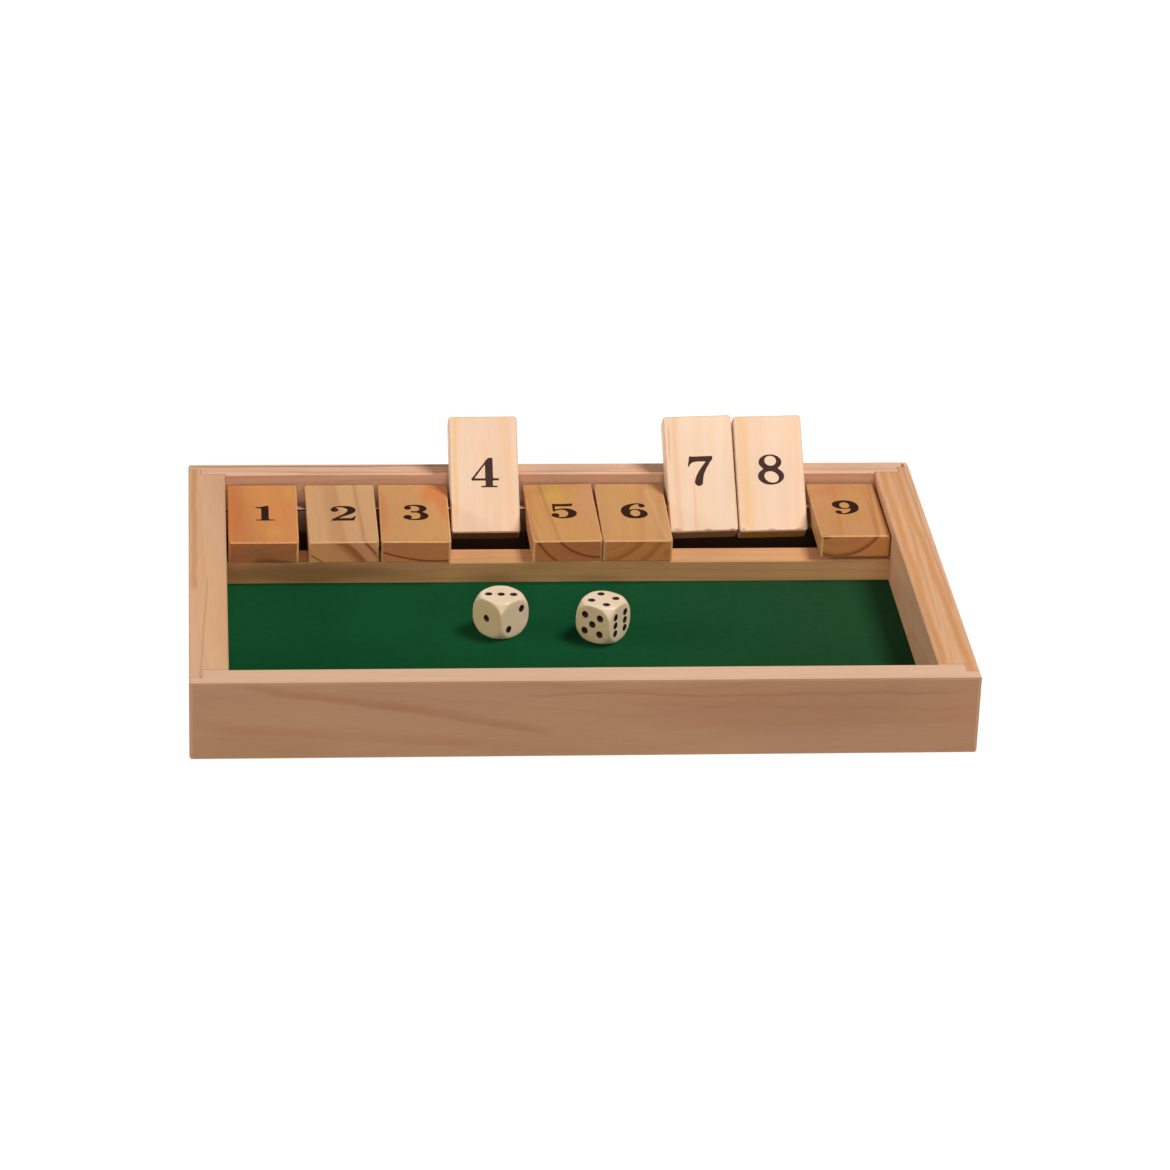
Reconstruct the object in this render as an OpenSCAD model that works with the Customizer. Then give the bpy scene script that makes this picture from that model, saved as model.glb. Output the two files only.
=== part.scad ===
// Shut the box game: an open pine tray with a felt floor, nine numbered
// flip tiles on one steel rod, a low stop rail and two dice.
// X runs along the row of tiles, Y from the player to the tiles, Z up.
// The tray stands on Z = 0, and the origin is the middle of the footprint
// of the tray and the raised tiles that lean out over its back.

/* [Tray] */
// Length of the tray along the row of tiles
tray_w = 300; // [290:1:320]
// Depth of the tray, front to back
tray_d = 200; // [192:1:230]
// Height of the four rails
tray_h = 32; // [29:0.5:36]
// Width of the two side rails
side_t = 15; // [13:0.5:18]
// Thickness of the front rail
front_t = 12; // [10:0.5:15]
// Thickness of the back rail
back_t = 10; // [9:0.5:13]
// Eased arris along the exposed edges of the rails
ease = 0.6; // [0.3:0.1:1]

/* [Floor] */
// Thickness of the plywood floor board
board_t = 3; // [2.5:0.5:4]
// Height of the board's underside above the table
board_z = 3.1; // [2:0.1:4]
// Thickness of the felt glued on the board
felt_t = 0.8; // [0.5:0.1:1.5]
// Depth of the groove that holds the board
groove = 4; // [3:0.5:5]

/* [Stop rail] */
// Distance from the tray's front face to the stop rail's front face
stop_y = 138.5; // [136:0.5:140]
// Thickness of the stop rail, front to back
stop_t = 12.5; // [10:0.5:13]
// Height of the stop rail above the felt
stop_h = 9; // [8:0.5:10]

/* [Tiles] */
// Width of a tile along the rod
tile_w = 28.3; // [26:0.1:28.5]
// Length of a tile
tile_l = 50; // [49:0.5:51]
// Thickness of a tile
tile_t = 9.6; // [9:0.1:10]
// Distance from a tile's hinge end to the centre of its bore
bore_a = 12; // [11.5:0.1:12.2]
// Eased arris of a tile
tile_ease = 0.5; // [0.2:0.1:0.8]
// Distance from the tray's front face to the rod
rod_y = 175.9; // [175:0.1:176.5]
// Height of the rod's centre above the table
rod_z = 22.8; // [22:0.1:23.2]
// Diameter of the hinge rod
rod_d = 2; // [1.6:0.1:2.5]
// Radial clearance of a tile's bore on the rod
bore_c = 0.06; // [0.02:0.01:0.1]
// Gap kept at each tile's stops
stop_gap = 0.05; // [0.02:0.01:0.1]

/* [Dice] */
// Edge length of a die
die_a = 16; // [12:1:18]
// Diameter of a pip
pip_d = 3; // [2:0.1:3]
// Depth of a pip
pip_h = 0.5; // [0.3:0.1:0.8]

/* [Hidden] */

$fn = 64;
tiny = 0.01;

// The tray's front face: the raised tiles lean out over the back by about
// 4 mm, so the tray lies 2 mm forward of the origin.
y0 = -102;
y_back = y0 + tray_d;
y_in_f = y0 + front_t;
y_in_b = y_back - back_t;
x_out = tray_w / 2;
x_in = x_out - side_t;

// Corner joint: the side rail's outer third is a tongue that reaches half
// way into the front or back rail.
tongue = side_t / 3;
lap_f = front_t / 2;
lap_b = back_t / 2;

felt_z = board_z + board_t + felt_t;
stop_top = felt_z + stop_h;
sy = y0 + stop_y;
ry = y0 + rod_y;
rod_in = 8;

// Centre of each tile along the rod, as the tiles stand in the photograph.
tile_x = [-119.9, -88.1, -58.1, -28.6, 2.1, 31.5, 61.2, 90.1, 120.1];
// Turn of each tile about its own face: the bores aren't drilled quite
// square, so some tiles stand a little askew on the rod.
tile_skew = [0, 0.7, -0.6, -0.4, 1.3, 0, -1.7, -1.3, 0.4];
// Which tiles are flipped up.
tile_up = [false, false, false, true, false, false, true, true, false];
// How far each lowered tile stands above its stop, in degrees: the last one
// is a tight fit beside the wall and hasn't dropped all the way.
tile_lift = [0, 0, 0, 0, 0, 0, 0, 0, 2.4];

// A lowered tile slopes down to its free end, which rests on the stop
// rail's top arris.
c_y = sy + ease - ry;
c_z = stop_top - rod_z;
tilt_down = asin(-(tile_t / 2 + stop_gap) / norm([c_y, c_z])) + atan(-c_z / -c_y);
// A raised tile leans back on the back rail's inner top arris.
l_y = y_in_b - ry;
l_z = tray_h - ease - rod_z;
lean_up = acos((tile_t / 2 + stop_gap) / norm([l_y, l_z])) - atan(l_z / l_y);

// Dice: middle in X and Y, and turn about Z.
die_l = [-26.9, -7.8, 41.7];
die_r = [13.4, -13, 53.1];
die_ball = die_a * 0.715;
pip_s = die_a * 0.218;

pine = "#d8ab82";
pine_dark = "#c99a63";
pine_pale = "#f3cfa6";

// A bar of square section standing on one corner: it cuts a 45 degree
// arris of leg c along an edge through its axis.
module arris_x(x1, x2, y, z, c) {
  translate([x1, y, z]) rotate([45, 0, 0])
    translate([0, -c / sqrt(2), -c / sqrt(2)]) cube([x2 - x1, c * sqrt(2), c * sqrt(2)]);
}
module arris_y(y1, y2, x, z, c) {
  translate([x, y1, z]) rotate([0, 45, 0])
    translate([-c / sqrt(2), 0, -c / sqrt(2)]) cube([c * sqrt(2), y2 - y1, c * sqrt(2)]);
}
module arris_z(z1, z2, x, y, c) {
  translate([x, y, z1]) rotate([0, 0, 45])
    translate([-c / sqrt(2), -c / sqrt(2), 0]) cube([c * sqrt(2), c * sqrt(2), z2 - z1]);
}

// Arrises of the tray: round the outside, top and bottom, at the four
// corners, and round the inner top edge.
module tray_arrises() {
  for (y = [y0, y_back], z = [0, tray_h])
    arris_x(-x_out - 1, x_out + 1, y, z, ease);
  for (x = [-x_out, x_out], z = [0, tray_h])
    arris_y(y0 - 1, y_back + 1, x, z, ease);
  for (x = [-x_out, x_out], y = [y0, y_back])
    arris_z(-1, tray_h + 1, x, y, ease * 2.2);
  for (y = [y_in_f, y_in_b]) arris_x(-x_in, x_in, y, tray_h, ease);
  for (x = [-x_in, x_in]) arris_y(y_in_f, y_in_b, x, tray_h, ease);
}

// Groove space for the floor board, which reaches into all four rails.
module board_groove() {
  translate([-x_in - groove, y_in_f - groove, board_z])
    cube([2 * (x_in + groove), y_in_b - y_in_f + 2 * groove, board_t]);
}

// Rail that runs the full length at the front (dir = 1) or back (dir = -1):
// its inner half stops short for the side rails' tongues.
module long_rail(y_out, y_in, lap) {
  y1 = min(y_out, y_in);
  t = abs(y_in - y_out);
  difference() {
    translate([-x_out, y1, 0]) cube([tray_w, t, tray_h]);
    for (s = [-1, 1])
      translate([s > 0 ? x_out - tongue : -x_out - 1,
                 y_out < y_in ? y_in - lap : y_in - 1, -1])
        cube([tongue + 1, lap + 1, tray_h + 2]);
    board_groove();
    tray_arrises();
    brads_all();
  }
}

module front_rail() { color(pine) long_rail(y0, y_in_f, front_t - lap_f); }
module back_rail() { color(pine) long_rail(y_back, y_in_b, back_t - lap_b); }

// Side rail: full width between the long rails, with a tongue at each end
// and a blind hole for the hinge rod.
module left_rail() {
  color(pine) difference() {
    union() {
      translate([-x_out, y_in_f, 0]) cube([side_t, y_in_b - y_in_f, tray_h]);
      translate([-x_out, y0 + lap_f, 0])
        cube([tongue, tray_d - lap_f - lap_b, tray_h]);
    }
    board_groove();
    tray_arrises();
    brads_all();
    translate([-x_in - rod_in, ry, rod_z]) rotate([0, 90, 0])
      cylinder(d = rod_d, h = rod_in + 1);
  }
}
module right_rail() {
  color(pine) difference() {
    union() {
      translate([x_in, y_in_f, 0]) cube([side_t, y_in_b - y_in_f, tray_h]);
      translate([x_out - tongue, y0 + lap_f, 0])
        cube([tongue, tray_d - lap_f - lap_b, tray_h]);
    }
    board_groove();
    tray_arrises();
    brads_all();
    translate([x_in - 1, ry, rod_z]) rotate([0, 90, 0])
      cylinder(d = rod_d, h = rod_in + 1);
  }
}

// Brad, driven from the head at the origin down its own -Z.
module brad(l, d, head_d, head_h) {
  translate([0, 0, -l]) cylinder(d = d, h = l, $fn = 24);
  translate([0, 0, -head_h]) cylinder(d = head_d, h = head_h, $fn = 24);
}

// Two brads in each corner, from the tray's ends through the tongues.
module corner_set() {
  for (s = [-1, 1], y = [y0 + (front_t + lap_f) / 2, y_back - (back_t + lap_b) / 2],
       z = [8, tray_h - 8])
    translate([s * (x_out - 0.2), y, z]) rotate([0, s * 90, 0]) brad(15, 1.1, 1.8, 0.5);
}
module corner_brads() { color("#8e9196") corner_set(); }

// Four brads from under the floor board hold the stop rail.
module stop_set() {
  for (x = [-112, -38, 38, 112])
    translate([x, sy + stop_t / 2, board_z + 0.2]) rotate([180, 0, 0])
      brad(10, 1.1, 2.2, 0.4);
}
module stop_rail_brads() { color("#8e9196") stop_set(); }

// Everything that the brads pass through is bored by the same shapes,
// with the mouth left open above each sunk head.
module brads_all() {
  corner_set();
  for (s = [-1, 1], y = [y0 + (front_t + lap_f) / 2, y_back - (back_t + lap_b) / 2],
       z = [8, tray_h - 8])
    translate([s * x_out, y, z]) rotate([0, s * 90, 0])
      translate([0, 0, -0.2 - tiny]) cylinder(d = 1.8, h = 1, $fn = 24);
}

module base_board() {
  color("#c9a877") difference() {
    translate([-x_in - groove + 0.2, y_in_f - groove + 0.2, board_z])
      cube([2 * (x_in + groove - 0.2), y_in_b - y_in_f + 2 * groove - 0.4, board_t]);
    stop_set();
    for (x = [-112, -38, 38, 112])
      translate([x, sy + stop_t / 2, board_z - 1]) cylinder(d = 2.2, h = 1.21, $fn = 24);
  }
}

// One sheet of felt from wall to wall; the stop rail stands on it.
module play_felt() {
  color("#15592f") difference() {
    translate([-x_in, y_in_f, board_z + board_t])
      cube([2 * x_in, y_in_b - y_in_f, felt_t]);
    stop_set();
  }
}

// Low rail that the free ends of the lowered tiles rest on.
module stop_rail() {
  color(pine_dark) difference() {
    translate([-x_in, sy, felt_z]) cube([2 * x_in, stop_t, stop_h]);
    for (y = [sy, sy + stop_t]) arris_x(-x_in - 1, x_in + 1, y, stop_top, ease);
    stop_set();
  }
}

module hinge_rod() {
  color("#b9bcc0") translate([-x_in - rod_in + 0.2, ry, rod_z]) rotate([0, 90, 0])
    cylinder(d = rod_d, h = 2 * (x_in + rod_in - 0.2));
}

// Rectangle with 45 degree corners of leg c.
module cut_rect(x1, y1, x2, y2, c) {
  polygon([[x1 + c, y1], [x2 - c, y1], [x2, y1 + c], [x2, y2 - c],
           [x2 - c, y2], [x1 + c, y2], [x1, y2 - c], [x1, y1 + c]]);
}

// A tile in its own frame: the bore's axis is X, the hinge end is at +Y,
// and the face that shows when the tile is lowered is at +Z. It is what
// three prisms have in common, one for each pair of faces.
module tile_block() {
  y1 = bore_a - tile_l;
  w = tile_w / 2;
  t = tile_t / 2;
  intersection() {
    translate([0, 0, -t]) linear_extrude(tile_t)
      cut_rect(-w, y1, w, bore_a, tile_ease * 1.8);
    rotate([90, 0, 0]) translate([0, 0, -bore_a]) linear_extrude(tile_l)
      cut_rect(-w, -t, w, t, tile_ease);
    rotate([90, 0, 90]) translate([0, 0, -w]) linear_extrude(tile_w)
      cut_rect(y1, -t, bore_a, t, tile_ease);
  }
}
module tile_blank(skew) {
  difference() {
    rotate([0, 0, skew]) tile_block();
    translate([-tile_w, 0, 0]) rotate([0, 90, 0])
      cylinder(r = rod_d / 2 + bore_c, h = 2 * tile_w);
  }
}

// Tile number n where it stands: lowered on the stop rail, or flipped up
// and back against the back rail.
module tile(n) {
  translate([tile_x[n - 1], ry, rod_z])
    rotate([tile_up[n - 1] ? -(90 + lean_up) : tilt_down - tile_lift[n - 1], 0, 0])
      tile_blank(tile_skew[n - 1]);
}

module tile_1() { color(pine_dark) tile(1); }
module tile_2() { color(pine_dark) tile(2); }
module tile_3() { color(pine_dark) tile(3); }
module tile_4() { color(pine_pale) tile(4); }
module tile_5() { color(pine_dark) tile(5); }
module tile_6() { color(pine_dark) tile(6); }
module tile_7() { color(pine_pale) tile(7); }
module tile_8() { color(pine_pale) tile(8); }
module tile_9() { color(pine_dark) tile(9); }

// Places of the pips of one face, in its own plane.
function pips(n) =
  concat(n % 2 == 1 ? [[0, 0]] : [],
         n >= 2 ? [[-1, -1], [1, 1]] : [],
         n >= 4 ? [[-1, 1], [1, -1]] : [],
         n == 6 ? [[-1, 0], [1, 0]] : []);

// The dimples of a face with n pips on the plane Z = die_a / 2.
module pip_cuts(n) {
  r = (pip_d * pip_d / 4 + pip_h * pip_h) / (2 * pip_h);
  for (p = pips(n))
    translate([p[0] * pip_s, p[1] * pip_s, die_a / 2 + r - pip_h]) sphere(r = r);
}

// A die: a cube rounded by a ball. Faces in the order up, down, -X, +X,
// -Y, +Y; opposite faces add up to seven.
module die(top, west, south) {
  difference() {
    intersection() {
      cube(die_a, center = true);
      sphere(r = die_ball, $fn = 96);
    }
    rotate([0, 0, 90]) pip_cuts(top);
    rotate([180, 0, 0]) pip_cuts(7 - top);
    rotate([0, -90, 0]) pip_cuts(west);
    rotate([0, 90, 0]) pip_cuts(7 - west);
    rotate([90, 0, 0]) pip_cuts(south);
    rotate([-90, 0, 0]) pip_cuts(7 - south);
  }
}
module place_die(p) {
  translate([p[0], p[1], felt_z + die_a / 2 + 0.02]) rotate([0, 0, p[2]]) children();
}
module die_left() { color("#e6dcc0") place_die(die_l) die(3, 1, 2); }
module die_right() { color("#e6dcc0") place_die(die_r) die(4, 5, 6); }

front_rail();
back_rail();
left_rail();
right_rail();
base_board();
play_felt();
stop_rail();
hinge_rod();
tile_1();
tile_2();
tile_3();
tile_4();
tile_5();
tile_6();
tile_7();
tile_8();
tile_9();
die_left();
die_right();
corner_brads();
stop_rail_brads();
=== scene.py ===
"""Looks of the shut the box game: an open pine tray with a green felt floor,
nine numbered tiles on one steel rod, a low stop rail and two dice."""
import math

import bmesh
import bpy
import numpy as np
from mathutils import Euler, Matrix, Vector
from mathutils.geometry import tessellate_polygon


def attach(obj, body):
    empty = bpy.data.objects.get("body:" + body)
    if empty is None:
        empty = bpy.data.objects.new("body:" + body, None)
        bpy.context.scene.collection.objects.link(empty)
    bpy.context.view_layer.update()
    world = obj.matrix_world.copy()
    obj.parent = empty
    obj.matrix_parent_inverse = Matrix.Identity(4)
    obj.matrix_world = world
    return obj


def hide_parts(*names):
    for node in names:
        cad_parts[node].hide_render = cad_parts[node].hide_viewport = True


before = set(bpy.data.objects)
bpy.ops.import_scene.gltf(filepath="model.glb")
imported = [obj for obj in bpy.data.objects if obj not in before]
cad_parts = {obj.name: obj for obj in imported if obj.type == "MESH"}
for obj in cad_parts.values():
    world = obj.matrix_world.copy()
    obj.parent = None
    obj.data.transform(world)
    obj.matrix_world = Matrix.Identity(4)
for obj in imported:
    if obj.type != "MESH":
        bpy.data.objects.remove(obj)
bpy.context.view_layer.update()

# ------------------------------------------------------------------ layout
# Millimetres, as in the construction model.
TILE_X = [-119.9, -88.1, -58.1, -28.6, 2.1, 31.5, 61.2, 90.1, 120.1]
SKEW = [0, 0.7, -0.6, -0.4, 1.3, 0, -1.7, -1.3, 0.4]
RAISED = (4, 7, 8)
LIFT = {9: 2.4}
ROD_Y, ROD_Z = 73.9, 22.8
DOWN, UP = 3.1769, -131.5426
TILE_T = 9.6
DICE = {"die_left": (-26.9, -7.8, 41.7, (3, 1, 2)), "die_right": (13.4, -13.0, 53.1, (4, 5, 6))}
DIE_Z = 14.92


def lin(r, g, b):
    """A display colour, 0 to 255, as linear light."""
    out = []
    for c in (r, g, b):
        c /= 255
        out.append(c / 12.92 if c <= 0.04045 else ((c + 0.055) / 1.055) ** 2.4)
    return (*out, 1.0)


def shade(c, k):
    return (c[0] * k, c[1] * k, c[2] * k, 1.0)


# ------------------------------------------------------------------ camera
def make_camera():
    yaw, pitch, roll = (math.radians(a) for a in (5.4431, 25.6911, 2.0245))
    d = Vector((math.sin(yaw) * math.cos(pitch), math.cos(yaw) * math.cos(pitch), -math.sin(pitch)))
    r = Vector((math.cos(yaw), -math.sin(yaw), 0))
    u = r.cross(d)
    r2 = math.cos(roll) * r + math.sin(roll) * u
    u2 = -math.sin(roll) * r + math.cos(roll) * u
    cam = bpy.data.cameras.new("camera")
    cam.sensor_fit = "HORIZONTAL"
    cam.sensor_width = 36
    cam.lens = 4521.0 / 1170 * 36
    cam.shift_x = (585 - 584.4) / 1170
    cam.clip_start, cam.clip_end = 0.05, 50
    o = bpy.data.objects.new("camera", cam)
    m = Matrix((r2, u2, -d)).transposed().to_4x4()
    m.translation = Vector((-0.14692, -1.61298, 0.80242))
    o.matrix_world = m
    bpy.context.scene.collection.objects.link(o)
    bpy.context.scene.camera = o


# --------------------------------------------------------------- materials
class Net:
    """A material's node tree, built from the surface back to its patterns."""

    def __init__(self, name, **sockets):
        self.mat = bpy.data.materials.new(name)
        self.mat.use_nodes = True
        self.t = self.mat.node_tree
        self.t.nodes.clear()
        out = self.t.nodes.new("ShaderNodeOutputMaterial")
        self.bsdf = self.t.nodes.new("ShaderNodeBsdfPrincipled")
        self.t.links.new(self.bsdf.outputs[0], out.inputs[0])
        for k, v in sockets.items():
            self.set(k.replace("_", " "), v)

    def set(self, socket, v):
        self.put(self.bsdf.inputs[socket], v)

    def put(self, socket, v):
        if isinstance(v, bpy.types.NodeSocket):
            self.t.links.new(v, socket)
        else:
            socket.default_value = v

    def math(self, op, a, b=0.0, c=0.0, clamp=False):
        n = self.t.nodes.new("ShaderNodeMath")
        n.operation, n.use_clamp = op, clamp
        for s, v in zip(n.inputs, (a, b, c)):
            self.put(s, v)
        return n.outputs[0]

    def vec(self, op, a, b=(0, 0, 0), c=(0, 0, 0)):
        n = self.t.nodes.new("ShaderNodeVectorMath")
        n.operation = op
        for s, v in zip(n.inputs, (a, b, c)):
            self.put(s, v)
        return n.outputs["Value"] if op in ("LENGTH", "DOT_PRODUCT", "DISTANCE") else n.outputs[0]

    def parts(self, v):
        n = self.t.nodes.new("ShaderNodeSeparateXYZ")
        self.put(n.inputs[0], v)
        return n.outputs

    def join(self, x, y, z):
        n = self.t.nodes.new("ShaderNodeCombineXYZ")
        for s, v in zip(n.inputs, (x, y, z)):
            self.put(s, v)
        return n.outputs[0]

    def noise(self, v, per_mm, seed=0.0, detail=2.0, rough=0.5, colour=False, twist=0.0):
        """Noise over points in mm, with its own number of features per mm along each axis."""
        s = per_mm if hasattr(per_mm, "__len__") else (per_mm,) * 3
        n = self.t.nodes.new("ShaderNodeTexNoise")
        n.noise_dimensions = "3D"
        self.put(n.inputs["Vector"], self.vec("MULTIPLY_ADD", v, tuple(s), (seed * 7.13, seed * 3.71 + 11, seed * 5.29 - 7)))
        n.inputs["Scale"].default_value = 1.0
        n.inputs["Detail"].default_value = detail
        n.inputs["Roughness"].default_value = rough
        n.inputs["Distortion"].default_value = twist
        return n.outputs["Color" if colour else "Fac"]

    def step(self, x, lo, hi, to0=0.0, to1=1.0):
        n = self.t.nodes.new("ShaderNodeMapRange")
        n.interpolation_type = "SMOOTHSTEP"
        for s, v in zip(n.inputs, (x, lo, hi, to0, to1)):
            self.put(s, v)
        return n.outputs[0]

    def ramp(self, x, stops):
        n = self.t.nodes.new("ShaderNodeValToRGB")
        e = n.color_ramp.elements
        while len(e) < len(stops):
            e.new(0.5)
        for el, (p, c) in zip(e, stops):
            el.position = p
            el.color = c if hasattr(c, "__len__") else (c, c, c, 1)
        self.put(n.inputs[0], x)
        return n.outputs[0]

    def mix(self, fac, a, b, mode="MIX"):
        n = self.t.nodes.new("ShaderNodeMix")
        n.data_type, n.blend_type = "RGBA", mode
        n.clamp_factor = True
        self.put(n.inputs[0], fac)
        self.put(n.inputs[6], a)
        self.put(n.inputs[7], b)
        return n.outputs[2]

    def scale(self, colour, k):
        """A colour times a number."""
        n = self.t.nodes.new("ShaderNodeVectorMath")
        n.operation = "SCALE"
        self.put(n.inputs[0], colour)
        self.put(n.inputs["Scale"], k)
        return n.outputs[0]

    def place(self, loc=(0, 0, 0), turn=(0, 0, 0)):
        """Points of the object, in mm, in a frame at loc (mm) turned by turn (degrees)."""
        tc = self.t.nodes.new("ShaderNodeTexCoord")
        m = self.t.nodes.new("ShaderNodeMapping")
        m.vector_type = "TEXTURE"
        self.t.links.new(tc.outputs["Object"], m.inputs[0])
        m.inputs["Location"].default_value = tuple(c / 1000 for c in loc)
        m.inputs["Rotation"].default_value = tuple(math.radians(a) for a in turn)
        return self.vec("MULTIPLY", m.outputs[0], (1000, 1000, 1000)), tc.outputs["Normal"]

    def bump(self, height_mm, strength=1.0):
        n = self.t.nodes.new("ShaderNodeBump")
        n.inputs["Strength"].default_value = strength
        n.inputs["Distance"].default_value = 0.001
        self.put(n.inputs["Height"], height_mm)
        self.set("Normal", n.outputs[0])


PEACH = lin(222, 181, 150)
HONEY = lin(219, 178, 132)
AMBER = lin(190, 136, 88)
RUST = lin(196, 124, 72)


def pine(name, grain, loc=(0, 0, 0), turn=(0, 0, 0), span=(-150, 150), pith=(0, -60), lean=(0, 0), gap=4.5, rings=(),
         base=PEACH, zone=HONEY, late=AMBER, contrast=0.45, zones=0.6, wander=7.0, seed=1.0, end=(0.62, 0.52, 0.42), other=None,
         end_contrast=0.8, painted_side_shading=(), streaks=(), faces=(), blots=(), seams=(), wear_and_painted_edge_light=None, fibre=0.10, rough=0.46, coat=0.04):
    """Pine with growth rings round a pith line that runs along the grain.

    The piece's own points are (across, along, up) in mm, and span is its ends along the grain.
    pith is (across, up) at the first end, and lean how far it moves over the whole span.
    rings are strong rings at (radius, width, strength); the others follow gap and contrast.
    end tints the end grain, and other, where given, the first end's. On the tiles that stand up, end also darkens the
    hinge end as painted shade.
    sides are (direction, tint) of faces whose colour is scaled as painted light: a tint under one is painted shade,
    over one a painted highlight.
    streaks are (across at the first end, at the last end, half width, strength, colour, from, to).
    faces are lines on an upright face: (direction, height at from, at to, half width, strength, colour, from, to).
    blots are (across, along, up, three radii, strength, colour).
    seams are joints between pieces, seen from above: (x0, y0, x1, y1).
    worn is (colour, strength) of the arrises, painted light on them: paler as a painted highlight, darker as painted
    shade.
    """
    m = Net(name)
    p, normal = m.place(loc, turn)
    own = p
    frame_turn = Euler([math.radians(a) for a in turn]).to_matrix()
    if grain == "x":
        x, y, z = m.parts(p)
        p = m.join(y, x, z)
        g = Vector((1, 0, 0))
    else:
        g = frame_turn @ Vector((0, 1, 0))
    ends = m.step(m.math("ABSOLUTE", m.vec("DOT_PRODUCT", normal, tuple(g))), 0.80, 0.95)
    u, along, v = m.parts(p)
    far = m.math("DIVIDE", m.math("SUBTRACT", along, span[0]), span[1] - span[0])
    # rings
    bend = m.vec("SUBTRACT", m.noise(p, (0.012, 0.0065, 0.012), seed, 1.0, 0.4, colour=True), (0.5, 0.5, 0.5))
    fine = m.vec("SUBTRACT", m.noise(p, (0.07, 0.022, 0.07), seed + 3, 2.0, 0.5, colour=True), (0.5, 0.5, 0.5))
    q = m.vec("SUBTRACT", p, m.join(m.math("MULTIPLY_ADD", far, lean[0], pith[0]), 0.0,
                                    m.math("MULTIPLY_ADD", far, lean[1], pith[1])))
    q = m.vec("MULTIPLY_ADD", bend, (wander * 2.6,) * 3, q)
    q = m.vec("MULTIPLY_ADD", fine, (wander * 0.32,) * 3, q)
    r = m.vec("LENGTH", m.vec("MULTIPLY", q, (1, 0, 1)))
    uneven = m.noise(m.join(m.math("MULTIPLY", r, 0.11), seed, 0.0), 1.0, seed, 1.0)
    phase = m.math("ADD", m.math("DIVIDE", r, gap), m.math("MULTIPLY", uneven, 2.4))
    f = m.math("FRACT", phase)
    white = m.t.nodes.new("ShaderNodeTexWhiteNoise")
    white.noise_dimensions = "1D"
    m.put(white.inputs["W"], m.math("ADD", m.math("FLOOR", phase), seed * 17.0))
    depth = m.math("MULTIPLY_ADD", white.outputs["Value"], 0.6, 0.4)
    ring = m.ramp(f, [(0.0, 0.10), (0.10, 0.0), (0.45, 0.06), (0.74, 0.42), (0.90, 1.0), (0.965, 0.92), (1.0, 0.12)])
    how = m.math("MULTIPLY_ADD", ends, end_contrast - contrast, contrast)
    ring = m.math("MULTIPLY", m.math("MULTIPLY", ring, depth), how)
    for radius, width, k in rings:
        d = m.math("SUBTRACT", r, radius)
        one = m.math("MULTIPLY", m.step(d, -width, 0.0), m.step(d, 0.35 * width, 0.05 * width))
        ring = m.math("MAXIMUM", ring, m.math("MULTIPLY", one, m.math("MULTIPLY", k, m.math("MULTIPLY_ADD", ends, 0.65, 0.35))))
    # broad zones, fibres and resin ducts along the grain
    broad = m.step(m.noise(p, (0.11, 0.010, 0.11), seed + 5, 2.0, 0.5), 0.36, 0.66)
    wash = m.noise(p, (0.03, 0.012, 0.03), seed + 8, 2.0, 0.5)
    fib = m.noise(p, (2.4, 0.055, 2.4), seed + 11, 3.0, 0.62)
    tiny = m.noise(p, (8.0, 0.30, 8.0), seed + 13, 2.0, 0.55)
    duct = m.step(m.noise(p, (3.1, 0.06, 3.1), seed + 17, 1.0, 0.4), 0.68, 0.78)
    shape = m.vec("SUBTRACT", m.noise(p, (0.16, 0.05, 0.16), seed + 29, 2.0, 0.5, colour=True), (0.5, 0.5, 0.5))
    col = m.mix(m.math("MULTIPLY", broad, zones), base, zone)
    for a, along_, up, ra, rl, ru, k, c in blots:
        d = m.vec("MULTIPLY", m.vec("SUBTRACT", p, (a, along_, up)), (1 / ra, 1 / rl, 1 / ru))
        d = m.vec("LENGTH", m.vec("MULTIPLY_ADD", shape, ((1.0 if max(ra, rl, ru) < 25 else 0.3),) * 3, d))
        col = m.mix(m.math("MULTIPLY", m.step(d, 1.0, 0.25), k), col, c)
    for a0, a1, w, k, c, b0, b1 in streaks:
        off = m.math("MULTIPLY_ADD", m.noise(p, (0.05, 0.03, 0.05), seed + a0, 2.0, 0.5), w * 1.4, -w * 0.7)
        d = m.math("ABSOLUTE", m.math("SUBTRACT", m.math("ADD", u, off), m.math("MULTIPLY_ADD", far, a1 - a0, a0)))
        k = m.math("MULTIPLY", m.step(d, w, 0.15 * w), k)
        k = m.math("MULTIPLY", k, m.math("MULTIPLY_ADD", fib, 0.7, 0.65))
        k = m.math("MULTIPLY", k, m.step(along, b0 - 5, b0 + 5))
        k = m.math("MULTIPLY", k, m.step(along, b1 + 5, b1 - 5))
        col = m.mix(k, col, c)
    for way, z0, z1, w, k, c, b0, b1 in faces:
        t = m.math("DIVIDE", m.math("SUBTRACT", along, b0), b1 - b0)
        off = m.math("MULTIPLY_ADD", m.noise(p, (0.05, 0.028, 0.05), seed + z0, 2.0, 0.5), 6.0, -3.0)
        d = m.math("SUBTRACT", m.math("ADD", v, off), m.math("MULTIPLY_ADD", t, z1 - z0, z0))
        k = m.math("MULTIPLY", m.math("MULTIPLY", m.step(d, -0.7 * w, -0.1 * w), m.step(d, 1.6 * w, 0.1 * w)), k)
        k = m.math("MULTIPLY", k, m.math("MULTIPLY_ADD", fib, 0.9, 0.55))
        k = m.math("MULTIPLY", k, m.step(along, b0 - 8, b0 + 12))
        k = m.math("MULTIPLY", k, m.step(along, b1 + 8, b1 - 12))
        k = m.math("MULTIPLY", k, m.step(m.vec("DOT_PRODUCT", normal, tuple(frame_turn @ Vector(way))), 0.62, 0.90))
        col = m.mix(k, col, c)
    col = m.mix(ring, col, late)
    col = m.mix(m.math("MULTIPLY", duct, 0.22), col, shade(late, 0.62))
    tone = m.math("MULTIPLY_ADD", fib, fibre * 2, 1 - fibre)
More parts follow.
